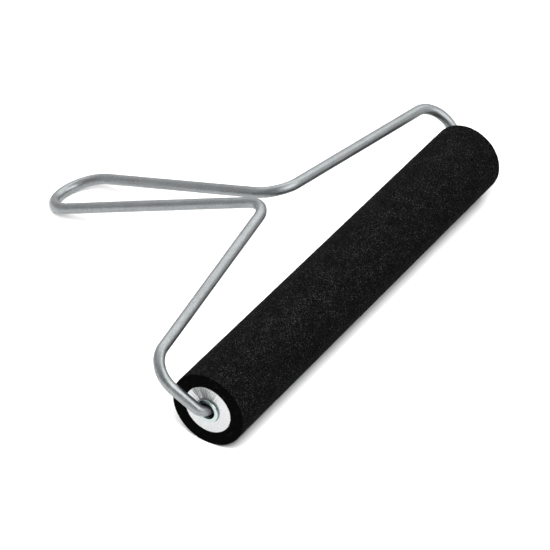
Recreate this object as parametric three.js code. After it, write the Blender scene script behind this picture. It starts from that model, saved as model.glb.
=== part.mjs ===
// A foam-rubber brayer: a roller that spins freely on a handle bent from one steel wire.
// Millimetres, +Z up. X runs along the roller, the handle points to +Y, and the tool rests on z = 0.
import * as THREE from "three";

// Clearance left between pieces that touch on the real tool.
const FIT_GAP = 0.3;

// Roller
const ROLLER_LENGTH = 228.6;
const ROLLER_RADIUS = 17.7;
const SLEEVE_EDGE_ROUND = 0.3;
const CORE_RADIUS = 11.4;
const CORE_WALL = 1.5;

// End plate: a flange that covers the core tube's end, and a spigot inside the tube.
const FLANGE_THICKNESS = 1.5;
const FLANGE_BEVEL = 0.25;
const SPIGOT_LENGTH = 12;

// Bearing bush: a sleeve in the end plate, with a flat collar standing proud of the plate and
// a funnel mouth for the wire.
const BUSH_RADIUS = 4.3;
const BUSH_BORE = 2.9;
const COLLAR_RADIUS = 5.9;
const COLLAR_TOP_RADIUS = 5.5;
const COLLAR_MOUTH = 4;
const COLLAR_HEIGHT = 1.05;
const MOUTH_DEPTH = 2.1;

// Wire frame. The arms lie in one plane through the roller's axis, tilted up from the table.
const WIRE_RADIUS = 2.6;
const ARM_TILT = THREE.MathUtils.degToRad(37);
const STUB_END_X = 98;
const ROOT_X = 117.6;
const SHOULDER_X = 123.8;
const SHOULDER_REACH = 30.3;
const NECK_REACH = 47.6;
const HANDLE_REAR_X = 16.3;
const HANDLE_REAR_Y = 154.2;
const ROOT_BEND = 5.6;
const SHOULDER_BEND = 13.2;
// The hand-bent neck and rear corners differ a little from one side to the other.
const LEFT = { sign: -1, neckX: 4, neckBend: 11.7, rearBend: 12.9 };
const RIGHT = { sign: 1, neckX: 2.8, neckBend: 13.6, rearBend: 15.7 };

// Facets
const ROLLER_SIDES = 64;
const BUSH_SIDES = 48;
const WIRE_SIDES = 16;
const STEPS_PER_STRETCH = 8;
const ARC_DIVISIONS = 3;

const steel = new THREE.MeshStandardMaterial({ color: 0x9aa0a4, roughness: 0.38, metalness: 1 });
const foam = new THREE.MeshStandardMaterial({ color: 0x17171a, roughness: 0.95, metalness: 0 });
const aluminium = new THREE.MeshStandardMaterial({ color: 0xdcdcda, roughness: 0.25, metalness: 1 });
const nickel = new THREE.MeshStandardMaterial({ color: 0xcfd6d4, roughness: 0.15, metalness: 1 });
const plastic = new THREE.MeshStandardMaterial({ color: 0xb9b4a8, roughness: 0.6, metalness: 0 });

// A circular bend where the line from before to corner turns towards after.
class Bend extends THREE.Curve {
  constructor(before, corner, after, radius) {
    super();
    const back = before.clone().sub(corner).normalize();
    const ahead = after.clone().sub(corner).normalize();
    const halfAngle = back.angleTo(ahead) / 2;
    const cutBack = radius / Math.tan(halfAngle);
    const bisector = back.clone().add(ahead).normalize();
    this.start = corner.clone().addScaledVector(back, cutBack);
    this.end = corner.clone().addScaledVector(ahead, cutBack);
    this.centre = corner.clone().addScaledVector(bisector, radius / Math.sin(halfAngle));
    this.sweep = Math.PI - 2 * halfAngle;
  }

  getPoint(t) {
    const fromStart = Math.sin((1 - t) * this.sweep) / Math.sin(this.sweep);
    const fromEnd = Math.sin(t * this.sweep) / Math.sin(this.sweep);
    return this.centre
      .clone()
      .addScaledVector(this.start.clone().sub(this.centre), fromStart)
      .addScaledVector(this.end.clone().sub(this.centre), fromEnd);
  }
}

// Straights and bends in turn. Each has an equal share of the parameter, so a short bend
// gets as many sections as a long straight.
class BentWire extends THREE.Curve {
  constructor(corners, firstPoint, lastPoint) {
    super();
    this.stretches = [];
    let straightStart = firstPoint;
    corners.forEach(({ point, radius }, i) => {
      const before = i === 0 ? firstPoint : corners[i - 1].point;
      const after = i === corners.length - 1 ? lastPoint : corners[i + 1].point;
      const bend = new Bend(before, point, after, radius);
      this.stretches.push(new THREE.LineCurve3(straightStart, bend.start), bend);
      straightStart = bend.end;
    });
    this.stretches.push(new THREE.LineCurve3(straightStart, lastPoint));
  }

  getPoint(t) {
    const place = t * this.stretches.length;
    const index = Math.min(Math.floor(place), this.stretches.length - 1);
    return this.stretches[index].getPoint(place - index);
  }

  getUtoTmapping(u) {
    return u;
  }
}

// A point of the arm plane: x across the tool, reach measured from the roller's axis.
function armPoint(x, reach) {
  const y = reach * Math.cos(ARM_TILT);
  const z = ROLLER_RADIUS + reach * Math.sin(ARM_TILT);
  return new THREE.Vector3(x, y, z);
}

// The corners of one side of the wire, from the roller's end to the rear of the handle.
function sideCorners({ sign, neckX, neckBend, rearBend }) {
  const rear = new THREE.Vector3(sign * HANDLE_REAR_X, HANDLE_REAR_Y, WIRE_RADIUS);
  return [
    { point: armPoint(sign * ROOT_X, 0), radius: ROOT_BEND },
    { point: armPoint(sign * SHOULDER_X, SHOULDER_REACH), radius: SHOULDER_BEND },
    { point: armPoint(sign * neckX, NECK_REACH), radius: neckBend },
    { point: rear, radius: rearBend },
  ];
}

function circle(radius, sides) {
  const points = [];
  for (let i = 0; i < sides; i += 1) {
    const angle = (i / sides) * 2 * Math.PI;
    points.push(new THREE.Vector2(radius * Math.cos(angle), radius * Math.sin(angle)));
  }
  return new THREE.Shape(points);
}

function wireFrame() {
  const corners = [...sideCorners(LEFT), ...sideCorners(RIGHT).reverse()];
  const path = new BentWire(corners, armPoint(-STUB_END_X, 0), armPoint(STUB_END_X, 0));
  const steps = path.stretches.length * STEPS_PER_STRETCH;
  const geometry = new THREE.ExtrudeGeometry(circle(WIRE_RADIUS, WIRE_SIDES), {
    extrudePath: path,
    steps,
  });
  const mesh = new THREE.Mesh(geometry, steel);
  mesh.name = "wire_frame";
  return mesh;
}

// A ring turned about the roller's axis. Its closed profile is drawn counter-clockwise with
// x as the radius and y as the distance from the roller's middle.
function turned(name, profile, sides, material) {
  const geometry = new THREE.LatheGeometry(profile.getPoints(ARC_DIVISIONS), sides);
  const mesh = new THREE.Mesh(geometry, material);
  mesh.name = name;
  return mesh;
}

function rubberSleeve() {
  const bore = CORE_RADIUS + FIT_GAP;
  const end = ROLLER_LENGTH / 2;
  const roundX = ROLLER_RADIUS - SLEEVE_EDGE_ROUND;
  const roundY = end - SLEEVE_EDGE_ROUND;
  const profile = new THREE.Path()
    .moveTo(bore, -end)
    .lineTo(roundX, -end)
    .absarc(roundX, -roundY, SLEEVE_EDGE_ROUND, -Math.PI / 2, 0)
    .absarc(roundX, roundY, SLEEVE_EDGE_ROUND, 0, Math.PI / 2)
    .lineTo(bore, end)
    .lineTo(bore, -end);
  return turned("rubber_sleeve", profile, ROLLER_SIDES, foam);
}

function coreTube() {
  const end = ROLLER_LENGTH / 2 - FLANGE_THICKNESS - FIT_GAP;
  const bore = CORE_RADIUS - CORE_WALL;
  const profile = new THREE.Path()
    .moveTo(bore, -end)
    .lineTo(CORE_RADIUS, -end)
    .lineTo(CORE_RADIUS, end)
    .lineTo(bore, end)
    .lineTo(bore, -end);
  return turned("core_tube", profile, ROLLER_SIDES, plastic);
}

function endPlate(name) {
  const face = ROLLER_LENGTH / 2;
  const flangeBack = face - FLANGE_THICKNESS;
  const spigotEnd = flangeBack - SPIGOT_LENGTH;
  const spigotRadius = CORE_RADIUS - CORE_WALL - FIT_GAP;
  const bore = BUSH_RADIUS + FIT_GAP;
  const profile = new THREE.Path()
    .moveTo(bore, spigotEnd)
    .lineTo(spigotRadius, spigotEnd)
    .lineTo(spigotRadius, flangeBack)
    .lineTo(CORE_RADIUS, flangeBack)
    .lineTo(CORE_RADIUS, face - FLANGE_BEVEL)
    .lineTo(CORE_RADIUS - FLANGE_BEVEL, face)
    .lineTo(bore, face)
    .lineTo(bore, spigotEnd);
  return turned(name, profile, ROLLER_SIDES, aluminium);
}

function bearingBush(name) {
  const innerEnd = ROLLER_LENGTH / 2 - FLANGE_THICKNESS - SPIGOT_LENGTH;
  const seat = ROLLER_LENGTH / 2 + FIT_GAP;
  const top = ROLLER_LENGTH / 2 + COLLAR_HEIGHT;
  const profile = new THREE.Path()
    .moveTo(BUSH_BORE, innerEnd)
    .lineTo(BUSH_RADIUS, innerEnd)
    .lineTo(BUSH_RADIUS, seat)
    .lineTo(COLLAR_RADIUS, seat)
    .lineTo(COLLAR_TOP_RADIUS, top)
    .lineTo(COLLAR_MOUTH, top)
    .lineTo(BUSH_BORE, seat - MOUTH_DEPTH)
    .lineTo(BUSH_BORE, innerEnd);
  return turned(name, profile, BUSH_SIDES, nickel);
}

// The roller's pieces stand on their axis; the group lays them along X at the roller's height.
function roller() {
  const alongX = new THREE.Group();
  alongX.position.z = ROLLER_RADIUS;
  alongX.rotation.z = -Math.PI / 2;
  alongX.add(rubberSleeve(), coreTube());
  for (const side of ["left", "right"]) {
    const end = new THREE.Group();
    end.rotation.x = side === "left" ? Math.PI : 0;
    end.add(endPlate("end_plate_" + side), bearingBush("bearing_bush_" + side));
    alongX.add(end);
  }
  return alongX;
}

// The origin is on the table under the middle of the whole tool.
const assembly = new THREE.Group();
assembly.position.y = (ROLLER_RADIUS - HANDLE_REAR_Y - WIRE_RADIUS) / 2;
assembly.add(wireFrame(), roller());

const brayer = new THREE.Group();
brayer.add(assembly);

export default brayer;
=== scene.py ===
"""Looks of the foam-rubber brayer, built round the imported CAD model. Metres, in the row frame."""

import math

import bpy
import numpy as np
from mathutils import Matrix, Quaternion, Vector, noise


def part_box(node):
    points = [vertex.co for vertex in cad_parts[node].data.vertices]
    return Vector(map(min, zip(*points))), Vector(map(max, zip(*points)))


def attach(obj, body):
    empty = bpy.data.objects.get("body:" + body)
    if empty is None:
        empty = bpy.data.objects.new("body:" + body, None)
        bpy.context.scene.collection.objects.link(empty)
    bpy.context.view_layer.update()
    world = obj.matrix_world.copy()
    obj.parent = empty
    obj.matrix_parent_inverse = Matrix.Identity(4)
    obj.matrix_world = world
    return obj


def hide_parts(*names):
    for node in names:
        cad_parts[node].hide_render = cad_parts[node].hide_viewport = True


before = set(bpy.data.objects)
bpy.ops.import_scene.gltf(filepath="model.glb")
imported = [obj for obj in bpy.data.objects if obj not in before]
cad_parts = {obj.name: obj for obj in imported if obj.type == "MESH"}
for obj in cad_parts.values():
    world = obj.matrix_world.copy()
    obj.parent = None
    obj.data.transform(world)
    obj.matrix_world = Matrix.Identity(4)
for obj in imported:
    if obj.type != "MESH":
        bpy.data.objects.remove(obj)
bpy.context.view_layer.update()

MM = 0.001

# ---------------------------------------------------------------- places taken from the frame
sleeve_low, sleeve_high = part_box("rubber_sleeve")
wire_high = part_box("wire_frame")[1]

ROLLER_RADIUS = (sleeve_high.z - sleeve_low.z) / 2
ROLLER_HALF = sleeve_high.x
AXIS_Y = (sleeve_low.y + sleeve_high.y) / 2
AXIS_Z = (sleeve_low.z + sleeve_high.z) / 2

# ---------------------------------------------------------------- driving sizes, as in the CAD
SLEEVE_EDGE_ROUND = 0.3 * MM
CORE_RADIUS = 11.4 * MM
CORE_WALL = 1.5 * MM
FIT_GAP = 0.3 * MM
FLANGE_THICKNESS = 1.5 * MM
FLANGE_BEVEL = 0.25 * MM
SPIGOT_LENGTH = 12 * MM
BUSH_RADIUS = 4.3 * MM
BUSH_BORE = 2.9 * MM
COLLAR_RADIUS = 5.9 * MM
COLLAR_TOP_RADIUS = 5.5 * MM
COLLAR_MOUTH = 4 * MM
COLLAR_HEIGHT = 1.05 * MM
MOUTH_DEPTH = 2.1 * MM
WIRE_RADIUS = 2.6 * MM
ARM_TILT = math.radians(37)
STUB_END_X = 98 * MM
ROOT_X = 117.6 * MM
SHOULDER_X = 123.8 * MM
SHOULDER_REACH = 30.3 * MM
NECK_REACH = 47.6 * MM
HANDLE_REAR_X = 16.3 * MM
HANDLE_REAR_Y = wire_high.y - WIRE_RADIUS
ROOT_BEND = 5.6 * MM
SHOULDER_BEND = 13.2 * MM
# The hand-bent neck and rear corners differ a little from one side to the other.
LEFT = {"sign": -1, "neck_x": 4 * MM, "neck_bend": 11.7 * MM, "rear_bend": 12.9 * MM}
RIGHT = {"sign": 1, "neck_x": 2.8 * MM, "neck_bend": 13.6 * MM, "rear_bend": 15.7 * MM}


# ---------------------------------------------------------------- camera, floor and light
CAMERA_PLACE = Vector((-1.0031, -0.6163, 0.8656))
CAMERA_AZIMUTH = math.radians(-59.84)
CAMERA_ELEVATION = math.radians(36.61)
CAMERA_ROLL = math.radians(2.42)
CAMERA_LENS_MM = 206.97
SENSOR_MM = 36
CLIP_NEAR = 0.05
CLIP_FAR = 60

FLOOR_HALF = 12
FLOOR_DROP = 0.05 * MM
FLOOR_GREY = 0.86


def direction(azimuth, elevation):
    """The unit vector from the object towards a viewer or lamp at this azimuth and elevation."""
    level = math.cos(elevation)
    return Vector((math.sin(azimuth) * level, -math.cos(azimuth) * level, math.sin(elevation)))


def make_camera():
    data = bpy.data.cameras.new("camera")
    data.lens = CAMERA_LENS_MM
    data.sensor_width = SENSOR_MM
    data.clip_start = CLIP_NEAR
    data.clip_end = CLIP_FAR
    camera = bpy.data.objects.new("camera", data)
    bpy.context.scene.collection.objects.link(camera)
    level = (-direction(CAMERA_AZIMUTH, CAMERA_ELEVATION)).to_track_quat("-Z", "Y")
    camera.location = CAMERA_PLACE
    camera.rotation_mode = "QUATERNION"
    camera.rotation_quaternion = level @ Quaternion((0, 0, 1), CAMERA_ROLL)
    bpy.context.scene.camera = camera


def make_softbox(name, azimuth, elevation, distance, size, power):
    """A rectangular lamp that faces the object. The angles are in degrees."""
    data = bpy.data.lights.new(name, "AREA")
    data.shape = "RECTANGLE"
    data.size, data.size_y = size
    data.energy = power
    lamp = bpy.data.objects.new(name, data)
    bpy.context.scene.collection.objects.link(lamp)
    towards = direction(math.radians(azimuth), math.radians(elevation))
    lamp.location = towards * distance
    lamp.rotation_mode = "QUATERNION"
    lamp.rotation_quaternion = (-towards).to_track_quat("-Z", "Y")
    return lamp


def set_stops(ramp, stops):
    """Give a colour ramp its stops, each a position with a grey or a colour."""
    elements = ramp.color_ramp.elements
    while len(elements) < len(stops):
        elements.new(0.5)
    for element, (position, tone) in zip(elements, stops):
        red, green, blue = (tone, tone, tone) if isinstance(tone, float) else tone
        element.position = position
        element.color = (red, green, blue, 1)


def make_world(below, low, high, behind_camera):
    """A studio dome: low is the grey near the horizon, high the grey overhead.

    Below is the grey under the horizon, which the foam sees in place of the bright floor. The side
    of the room where the camera stands is dimmer, by the factor behind_camera.
    """
    world = bpy.data.worlds.new("studio")
    world.use_nodes = True
    nodes = world.node_tree.nodes
    links = world.node_tree.links
    place = nodes.new("ShaderNodeTexCoord")
    split = nodes.new("ShaderNodeSeparateXYZ")
    links.new(place.outputs["Generated"], split.inputs[0])
    height = nodes.new("ShaderNodeMapRange")
    height.inputs["From Min"].default_value = -1.0
    links.new(split.outputs["Z"], height.inputs["Value"])
    sky = nodes.new("ShaderNodeValToRGB")
    set_stops(sky, [(0.49, below), (0.50, low), (0.95, high)])
    links.new(height.outputs[0], sky.inputs[0])
    facing = nodes.new("ShaderNodeVectorMath")
    facing.operation = "DOT_PRODUCT"
    facing.inputs[1].default_value = direction(CAMERA_AZIMUTH, CAMERA_ELEVATION)
    links.new(place.outputs["Generated"], facing.inputs[0])
    dim = nodes.new("ShaderNodeValToRGB")
    set_stops(dim, [(0.45, 1.0), (0.90, behind_camera)])
    links.new(facing.outputs["Value"], dim.inputs[0])
    product = nodes.new("ShaderNodeMix")
    product.data_type = "RGBA"
    product.blend_type = "MULTIPLY"
    product.inputs["Factor"].default_value = 1.0
    links.new(sky.outputs[0], product.inputs["A"])
    links.new(dim.outputs[0], product.inputs["B"])
    links.new(product.outputs["Result"], nodes["Background"].inputs["Color"])
    bpy.context.scene.world = world


def make_floor():
    """A pale floor, lit until it is white, so that a shadow shows only close to where a piece touches."""
    corners = [(-FLOOR_HALF, -FLOOR_HALF), (FLOOR_HALF, -FLOOR_HALF)]
    corners += [(FLOOR_HALF, FLOOR_HALF), (-FLOOR_HALF, FLOOR_HALF)]
    mesh = bpy.data.meshes.new("floor")
    mesh.from_pydata([(x, y, 0) for x, y in corners], [], [(0, 1, 2, 3)])
    floor = bpy.data.objects.new("floor", mesh)
    bpy.context.scene.collection.objects.link(floor)
    floor.location.z = -FLOOR_DROP
    paint = bpy.data.materials.new("studio_floor")
    paint.use_nodes = True
    shader = paint.node_tree.nodes["Principled BSDF"]
    shader.inputs["Base Color"].default_value = (FLOOR_GREY, FLOOR_GREY, FLOOR_GREY, 1)
    shader.inputs["Roughness"].default_value = 0.9
    shader.inputs["Specular IOR Level"].default_value = 0.1
    mesh.materials.append(paint)
    floor.visible_diffuse = False


def make_studio():
    """The key lamp lights the foam and casts the shadow. The banks are only seen in the metal."""
    make_floor()
    make_world(below=0.30, low=0.68, high=1.25, behind_camera=0.5)
    key = make_softbox("softbox_key", azimuth=-60, elevation=57, distance=1.8, size=(1.1, 1.1), power=54)
    key.visible_glossy = False
    side = make_softbox("bank_side", azimuth=106, elevation=50, distance=1.7, size=(2.8, 1.2), power=22)
    side.visible_diffuse = False
    front = make_softbox("bank_front", azimuth=0, elevation=40, distance=1.7, size=(1.6, 1.2), power=24)
    front.visible_diffuse = False
    bpy.context.scene.view_settings.view_transform = "Standard"


# ---------------------------------------------------------------- mesh and node helpers
def add_piece(name, vertices, faces, body, replaced):
    mesh = bpy.data.meshes.new(name)
    mesh.from_pydata([tuple(vertex) for vertex in vertices], [], [tuple(face) for face in faces])
    mesh.shade_smooth()
    piece = bpy.data.objects.new(name, mesh)
    bpy.context.scene.collection.objects.link(piece)
    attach(piece, body)
    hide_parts(replaced)
    return piece


def reversed_faces(faces):
    return [tuple(reversed(face)) for face in faces]


def grid_faces(rows, columns, closed_rows=False):
    """Quads of a grid of vertices whose columns close on themselves, and rows too where asked."""
    faces = []
    for i in range(rows if closed_rows else rows - 1):
        here = i * columns
        there = (i + 1) % rows * columns
        for j in range(columns):
            k = (j + 1) % columns
            faces.append((here + j, there + j, there + k, here + k))
    return faces


def turned_ring(profile, segments):
    """Vertices and faces of a closed profile of (radius, x), turned about the roller's axis."""
    vertices = []
    for radius, x in profile:
        for j in range(segments):
            angle = 2 * math.pi * j / segments
            y = AXIS_Y + radius * math.cos(angle)
            z = AXIS_Z + radius * math.sin(angle)
            vertices.append((x, y, z))
    return vertices, grid_faces(len(profile), segments, closed_rows=True)


class Look:
    """A short way to write a material's node tree."""

    def __init__(self, name):
        self.material = bpy.data.materials.new(name)
        self.material.use_nodes = True
        self.tree = self.material.node_tree
        self.shader = self.tree.nodes["Principled BSDF"]

    def add(self, kind, values, **settings):
        """A new node, with values for its sockets: a plain value, or another node's output to link."""
        node = self.tree.nodes.new("ShaderNode" + kind)
        for key, value in settings.items():
            setattr(node, key, value)
        for key, value in values.items():
            self.fill(node.inputs[key], value)
        return node

    def fill(self, socket, value):
        if isinstance(value, bpy.types.NodeSocket):
            self.tree.links.new(value, socket)
        else:
            socket.default_value = value

    def noise(self, place, scale, detail):
        return self.add("TexNoise", {"Vector": place, "Scale": scale, "Detail": detail}).outputs["Fac"]

    def ramp(self, factor, stops):
        node = self.add("ValToRGB", {"Fac": factor})
        set_stops(node, stops)
        return node.outputs["Color"]

    def bump(self, height, strength, distance, **values):
        sockets = {"Height": height, "Strength": strength, "Distance": distance}
        return self.add("Bump", sockets | values).outputs["Normal"]

    def between(self, factor, low, high):
        return self.add("MapRange", {"Value": factor, "To Min": low, "To Max": high}).outputs[0]

    def product(self, first, second):
        sockets = {"Factor": 1.0, "A": first, "B": second}
        return self.add("Mix", sockets, data_type="RGBA", blend_type="MULTIPLY").outputs["Result"]

    def set(self, socket, value):
        self.fill(self.shader.inputs[socket], value)


# ---------------------------------------------------------------- materials
def foam_material(name, grain_size, tones, bump_distance):
    """Sponge rubber: black; its pores hold painted shade, its broken cell walls painted light.

    tones are the greys of the deepest pores (painted shade), the body, and the cell walls and few
    brightest crumbs (painted light).
    The skin is rougher in some patches than in others.
    """
    look = Look(name)
    place = look.add("TexCoord", {}).outputs["Object"]
    grain = look.add("TexNoise", {"Vector": place, "Scale": 1 / grain_size, "Detail": 3.0,
                                  "Roughness": 0.65})
    cells = look.add("TexVoronoi", {"Vector": place, "Scale": 0.8 / grain_size, "Randomness": 1.0},
                     feature="F1")
    mix = look.add("Mix", {"Factor": 0.35, "A": grain.outputs["Fac"], "B": cells.outputs["Distance"]})
    patches = look.noise(place, scale=130.0, detail=2.0)
    contrast = look.add("MapRange", {"Value": patches, "From Min": 0.35, "From Max": 0.65,
                                     "To Min": 0.7, "To Max": 1.25})
    middle = look.add("Math", {0: mix.outputs["Result"], 1: 0.5}, operation="SUBTRACT")
    swing = look.add("Math", {0: middle.outputs[0], 1: contrast.outputs[0]}, operation="MULTIPLY")
    height = look.add("Math", {0: swing.outputs[0], 1: 0.5}, operation="ADD").outputs[0]
    # The base colour follows the bump height: painted shade in the pits, painted light on the raised
    # walls and crumbs.
    shaded_pore, body, lit_wall, lit_crumb = tones
    look.set("Base Color", look.ramp(height, [(0.38, shaded_pore), (0.50, body), (0.62, lit_wall), (0.70, lit_crumb)]))
    look.set("Roughness", 0.95)
    look.set("Specular IOR Level", 0.02)
    look.set("Normal", look.bump(height, 1.0, bump_distance))
    return look.material


def wire_material():
    """Drawn steel wire with a satin grey zinc finish and faint marks along its length."""
    look = Look("wire_steel")
    place = look.add("Attribute", {}, attribute_name="wire_coord").outputs["Vector"]
    stretch = look.add("Mapping", {"Vector": place, "Scale": (1400.0, 1400.0, 30.0)})
    streaks = look.noise(stretch.outputs[0], scale=1.0, detail=3.0)
    cloud = look.noise(place, scale=160.0, detail=4.0)
    tone = look.ramp(cloud, [(0.3, (0.205, 0.217, 0.221)), (0.7, (0.240, 0.253, 0.257))])
    lined = look.product(tone, look.ramp(streaks, [(0.3, 0.88), (0.7, 1.06)]))
    satin = look.noise(place, scale=1500.0, detail=2.0)
    speckle = look.ramp(satin, [(0.35, 0.86), (0.65, 1.14)])
    look.set("Base Color", look.product(lined, speckle))
    look.set("Metallic", 1.0)
    look.set("Roughness", look.between(cloud, 0.36, 0.46))
    rubbed = look.bump(satin, 0.6, 0.06 * MM)
    look.set("Normal", look.bump(streaks, 0.25, 0.02 * MM, Normal=rubbed))
    return look.material


def plate_material():
    """Aluminium turned on a lathe, with faint marks that run out from the middle."""
    look = Look("plate_aluminium")
    place = look.add("TexCoord", {}).outputs["Object"]
    cloud = look.noise(place, scale=400.0, detail=3.0)
    tone = look.ramp(cloud, [(0.3, (0.425, 0.432, 0.434)), (0.7, (0.465, 0.472, 0.474))])
    look.set("Base Color", tone)
    look.set("Metallic", 1.0)
    look.set("Roughness", look.between(cloud, 0.22, 0.3))
    look.set("Anisotropic", 0.75)
    look.set("Tangent", look.add("Tangent", {}, direction_type="RADIAL", axis="X").outputs[0])
    outward = look.add("VectorMath", {0: place, 1: (0.0, AXIS_Y, AXIS_Z)}, operation="SUBTRACT")
    level = look.add("VectorMath", {0: outward.outputs[0], 1: (0.0, 1.0, 1.0)}, operation="MULTIPLY")
    around = look.add("VectorMath", {0: level.outputs[0]}, operation="NORMALIZE")
    marks = look.add("TexNoise", {"Vector": around.outputs[0], "Scale": 4.5, "Detail": 3.5,
                                  "Roughness": 0.6})
    look.set("Normal", look.bump(marks.outputs["Fac"], 1.0, 0.55 * MM))
    return look.material


def bush_material():
    """Plated steel, polished, with a cool tint."""
    look = Look("bush_plated_steel")
    place = look.add("TexCoord", {}).outputs["Object"]
    cloud = look.noise(place, scale=700.0, detail=3.0)
    tone = look.ramp(cloud, [(0.3, (0.345, 0.40, 0.40)), (0.7, (0.385, 0.44, 0.435))])
    look.set("Base Color", tone)
    look.set("Metallic", 1.0)
    look.set("Roughness", look.between(cloud, 0.18, 0.28))
    return look.material


def core_material():
    """A moulded tube, unseen inside the sleeve."""
    look = Look("core_plastic")
    place = look.add("TexCoord", {}).outputs["Object"]
    cloud = look.noise(place, scale=250.0, detail=5.0)
    look.set("Base Color", look.ramp(cloud, [(0.3, (0.55, 0.53, 0.48)), (0.7, (0.66, 0.64, 0.59))]))
    look.set("Roughness", 0.6)
    look.set("Normal", look.bump(cloud, 0.3, 0.05 * MM))
    return look.material


# ---------------------------------------------------------------- foam sleeve
SLEEVE_BORE = CORE_RADIUS + FIT_GAP
SLEEVE_STEP = 0.56 * MM
FACE_RINGS = 9
EDGE_ARC_DEGREES = (0, 22.5, 45, 67.5)
PIT_DEPTH = 0.10 * MM
PIT_SIZE = 1.7 * MM
FINE_PIT_SIZE = 0.45 * PIT_SIZE
# The cut end faces are smoother than the skin: their pits have this share of the depth.
FACE_PIT_SHARE = 0.35


def pit_depth(x, y, z):
    """How far the foam's skin lies below the sleeve's full radius, from 0 to PIT_DEPTH."""
    coarse = noise.noise(Vector((x, y, z)) / PIT_SIZE)
    fine = noise.noise(Vector((x + 1, y, z)) / FINE_PIT_SIZE)
    return PIT_DEPTH * min(1.0, max(0.0, 0.5 + 0.55 * coarse + 0.35 * fine))


def sleeve_vertex(radius, x, angle):
    """A point of the sleeve: its pit goes inwards on the skin, and along X on an end face."""
    y, z = math.cos(angle), math.sin(angle)
    depth = pit_depth(x, y * radius, z * radius)
    if radius > ROLLER_RADIUS - SLEEVE_EDGE_ROUND:
        radius -= depth
    elif radius > SLEEVE_BORE:
        x = math.copysign(abs(x) - FACE_PIT_SHARE * depth, x)
    return (x, AXIS_Y + radius * y, AXIS_Z + radius * z)


def end_face_profile():
    """The sleeve's right end from the bore to the start of the skin, as (radius, x)."""
    round_radius = ROLLER_RADIUS - SLEEVE_EDGE_ROUND
    round_x = ROLLER_HALF - SLEEVE_EDGE_ROUND
    flat = round_radius - SLEEVE_BORE
    points = [(SLEEVE_BORE + flat * k / FACE_RINGS, ROLLER_HALF) for k in range(FACE_RINGS)]
    for degrees in EDGE_ARC_DEGREES:
        angle = math.radians(degrees)
        radius = round_radius + SLEEVE_EDGE_ROUND * math.sin(angle)
        points.append((radius, round_x + SLEEVE_EDGE_ROUND * math.cos(angle)))
    return points


def make_sleeve():
    around = round(2 * math.pi * ROLLER_RADIUS / SLEEVE_STEP)
    along = round(2 * ROLLER_HALF / SLEEVE_STEP)
    straight = ROLLER_HALF - SLEEVE_EDGE_ROUND
    end_face = end_face_profile()
    skin = [(ROLLER_RADIUS, straight * (1 - 2 * k / along)) for k in range(along + 1)]
    profile = end_face + skin + [(radius, -x) for radius, x in reversed(end_face)]
    vertices = []
    for radius, x in profile:
        vertices += [sleeve_vertex(radius, x, 2 * math.pi * j / around) for j in range(around)]
    faces = grid_faces(len(profile), around, closed_rows=True)
    sleeve = add_piece("foam_sleeve", vertices, faces, "roller", "rubber_sleeve")
    skin_look = foam_material("foam_skin", 0.42 * MM, (0.0003, 0.0012, 0.0145, 0.034), 0.30 * MM)
    # The cut end faces take a darker copy of the foam: partly the smoother cut's own tone, partly painted
    # shade.
    cut_look = foam_material("foam_cut_face", 0.6 * MM, (0.0008, 0.0013, 0.0025, 0.012), 0.03 * MM)
    sleeve.data.materials.append(skin_look)
    sleeve.data.materials.append(cut_look)
    skin_first = (len(end_face) - 2) * around
    skin_last = (len(end_face) + len(skin) + 1) * around
    look_of_face = np.ones(len(faces), dtype=np.int32)
    look_of_face[skin_first:skin_last] = 0
    sleeve.data.polygons.foreach_set("material_index", look_of_face)


# ---------------------------------------------------------------- wire frame
BEND_STEP = math.radians(3)
STRAIGHT_STEP = 3 * MM
WIRE_SIDES = 32
# A hair thinner than the CAD's, so that its finer facets stay inside the CAD's box.
SHOWN_WIRE_RADIUS = 2.57 * MM


def arm_point(x, reach):
    """A point of the arm plane: x across the tool, reach measured from the roller's axis."""
    return Vector((x, AXIS_Y + reach * math.cos(ARM_TILT), AXIS_Z + reach * math.sin(ARM_TILT)))


def side_corners(side):
    """One side's corners with their bend radii, from the roller's end to the rear of the handle."""
    sign = side["sign"]
    return [
        (arm_point(sign * ROOT_X, 0), ROOT_BEND),
        (arm_point(sign * SHOULDER_X, SHOULDER_REACH), SHOULDER_BEND),
        (arm_point(sign * side["neck_x"], NECK_REACH), side["neck_bend"]),
        (Vector((sign * HANDLE_REAR_X, HANDLE_REAR_Y, WIRE_RADIUS)), side["rear_bend"]),
    ]


def bend_points(before, corner, after, radius, steps=0):
    """Points of the circular bend at corner, where the line from before turns towards after."""
    back = (before - corner).normalized()
    ahead = (after - corner).normalized()
    half = back.angle(ahead) / 2
    cut = radius / math.tan(half)
    centre = corner + (back + ahead).normalized() * (radius / math.sin(half))
    start = corner + back * cut - centre
    end = corner + ahead * cut - centre
    sweep = math.pi - 2 * half
    steps = steps or max(4, math.ceil(sweep / BEND_STEP))
    points = []
    for k in range(steps + 1):
        from_start = math.sin((1 - k / steps) * sweep)
        from_end = math.sin(k / steps * sweep)
        points.append(centre + (start * from_start + end * from_end) / math.sin(sweep))
    return points


def straight_points(start, end):
    """Points between start and end, both left out."""
    steps = max(1, round((end - start).length / STRAIGHT_STEP))
    return [start.lerp(end, k / steps) for k in range(1, steps)]


def wire_path():
    corners = side_corners(LEFT) + side_corners(RIGHT)[::-1]
    first = arm_point(-STUB_END_X, 0)
    last = arm_point(STUB_END_X, 0)
    places = [first] + [point for point, _ in corners] + [last]
    path = [first]
    for i, (point, radius) in enumerate(corners):
        bend = bend_points(places[i], point, places[i + 2], radius)
        path += straight_points(path[-1], bend[0])
        path += bend
    path += straight_points(path[-1], last)
    path.append(last)
    return path


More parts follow.
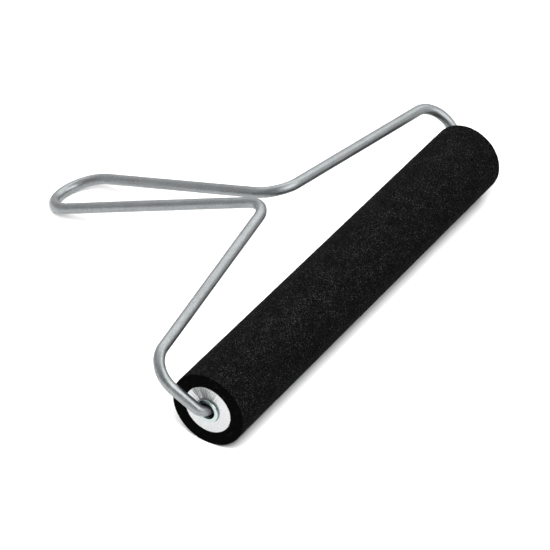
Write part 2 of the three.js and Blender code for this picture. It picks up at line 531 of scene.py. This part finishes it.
def wire_rings(path):
    """The wire's vertices ring by ring, and each one's place across and along the straightened wire."""
    tangents = []
    for i in range(len(path)):
        behind = path[max(i - 1, 0)]
        ahead = path[min(i + 1, len(path) - 1)]
        tangents.append((ahead - behind).normalized())
    across = tangents[0].orthogonal().normalized()
    vertices = []
    coords = []
    length = 0.0
    for i, (point, tangent) in enumerate(zip(path, tangents)):
        if i:
            length += (point - path[i - 1]).length
            across = (across - tangent * across.dot(tangent)).normalized()
        other = tangent.cross(across)
        for j in range(WIRE_SIDES):
            angle = 2 * math.pi * j / WIRE_SIDES
            u = math.cos(angle) * SHOWN_WIRE_RADIUS
            v = math.sin(angle) * SHOWN_WIRE_RADIUS
            vertices.append(point + across * u + other * v)
            coords += (u, v, length)
    return vertices, coords


def make_wire():
    path = wire_path()
    vertices, coords = wire_rings(path)
    faces = reversed_faces(grid_faces(len(path), WIRE_SIDES))
    last_ring = (len(path) - 1) * WIRE_SIDES
    faces.append(tuple(reversed(range(WIRE_SIDES))))
    faces.append(tuple(last_ring + j for j in range(WIRE_SIDES)))
    wire = add_piece("steel_wire", vertices, faces, "frame", "wire_frame")
    attribute = wire.data.attributes.new("wire_coord", "FLOAT_VECTOR", "POINT")
    attribute.data.foreach_set("vector", np.array(coords, np.float32))
    wire.data.materials.append(wire_material())


# ---------------------------------------------------------------- end plates and bushes
TURNED_SEGMENTS = 160
COLLAR_EDGE = 0.22 * MM
COLLAR_EDGE_STEPS = 6
COLLAR_SEAT_GAP = 0.06 * MM
GROOVE_PITCH = 0.36 * MM
GROOVE_DEPTH = 0.008 * MM


def turned_mesh(profile, sign):
    """The profile of (radius, distance from the roller's middle), turned, on one side of the middle."""
    vertices, faces = turned_ring([(radius, sign * x) for radius, x in profile], TURNED_SEGMENTS)
    return vertices, reversed_faces(faces) if sign > 0 else faces


def grooved_face(outer, bore, face):
    """The lathe's fine grooves, from the flange's rim in to its bore."""
    grooves = int((outer - bore) / GROOVE_PITCH)
    points = []
    for k in range(1, 2 * grooves):
        radius = outer - (outer - bore) * k / (2 * grooves)
        points.append((radius, face - (GROOVE_DEPTH if k % 2 else 0)))
    return points


def make_end_plate(side, sign, material):
    face = ROLLER_HALF
    back = face - FLANGE_THICKNESS
    inner = back - SPIGOT_LENGTH
    spigot = CORE_RADIUS - CORE_WALL - FIT_GAP
    bore = BUSH_RADIUS + FIT_GAP
    rim = CORE_RADIUS - FLANGE_BEVEL
    profile = [(bore, inner), (spigot, inner), (spigot, back), (CORE_RADIUS, back)]
    profile += [(CORE_RADIUS, face - FLANGE_BEVEL), (rim, face)]
    profile += grooved_face(rim, bore, face)
    profile.append((bore, face))
    vertices, faces = turned_mesh(profile, sign)
    name = "turned_plate_" + side
    plate = add_piece(name, vertices, faces, "roller", "end_plate_" + side)
    plate.data.materials.append(material)


def rounded_corner(before, corner, after):
    """Points of the small arc that rounds off a corner of the collar's profile."""
    before, corner, after = (Vector((*point, 0)) for point in (before, corner, after))
    arc = bend_points(before, corner, after, COLLAR_EDGE, COLLAR_EDGE_STEPS)
    return [(point.x, point.y) for point in arc]


def make_bush(side, sign, material):
    inner = ROLLER_HALF - FLANGE_THICKNESS - SPIGOT_LENGTH
    seat = ROLLER_HALF + COLLAR_SEAT_GAP
    top = ROLLER_HALF + COLLAR_HEIGHT
    rim = (COLLAR_TOP_RADIUS, top)
    mouth = (COLLAR_MOUTH, top)
    funnel_end = (BUSH_BORE, seat - MOUTH_DEPTH)
    profile = [(BUSH_BORE, inner), (BUSH_RADIUS, inner), (BUSH_RADIUS, seat), (COLLAR_RADIUS, seat)]
    profile += rounded_corner((COLLAR_RADIUS, seat), rim, mouth)
    profile += rounded_corner(rim, mouth, funnel_end)
    profile.append(funnel_end)
    vertices, faces = turned_mesh(profile, sign)
    name = "collar_bush_" + side
    bush = add_piece(name, vertices, faces, "roller", "bearing_bush_" + side)
    bush.data.materials.append(material)


# ---------------------------------------------------------------- core tube
def finish_core(material):
    """The core tube keeps its CAD mesh, because the sleeve hides it."""
    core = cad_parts["core_tube"]
    core.data.materials.clear()
    core.data.materials.append(material)


# ---------------------------------------------------------------- the scene
make_camera()
make_studio()
plate_look = plate_material()
bush_look = bush_material()
core_look = core_material()
make_wire()
make_sleeve()
for side_name, side_sign in (("left", -1), ("right", 1)):
    make_end_plate(side_name, side_sign, plate_look)
    make_bush(side_name, side_sign, bush_look)
finish_core(core_look)
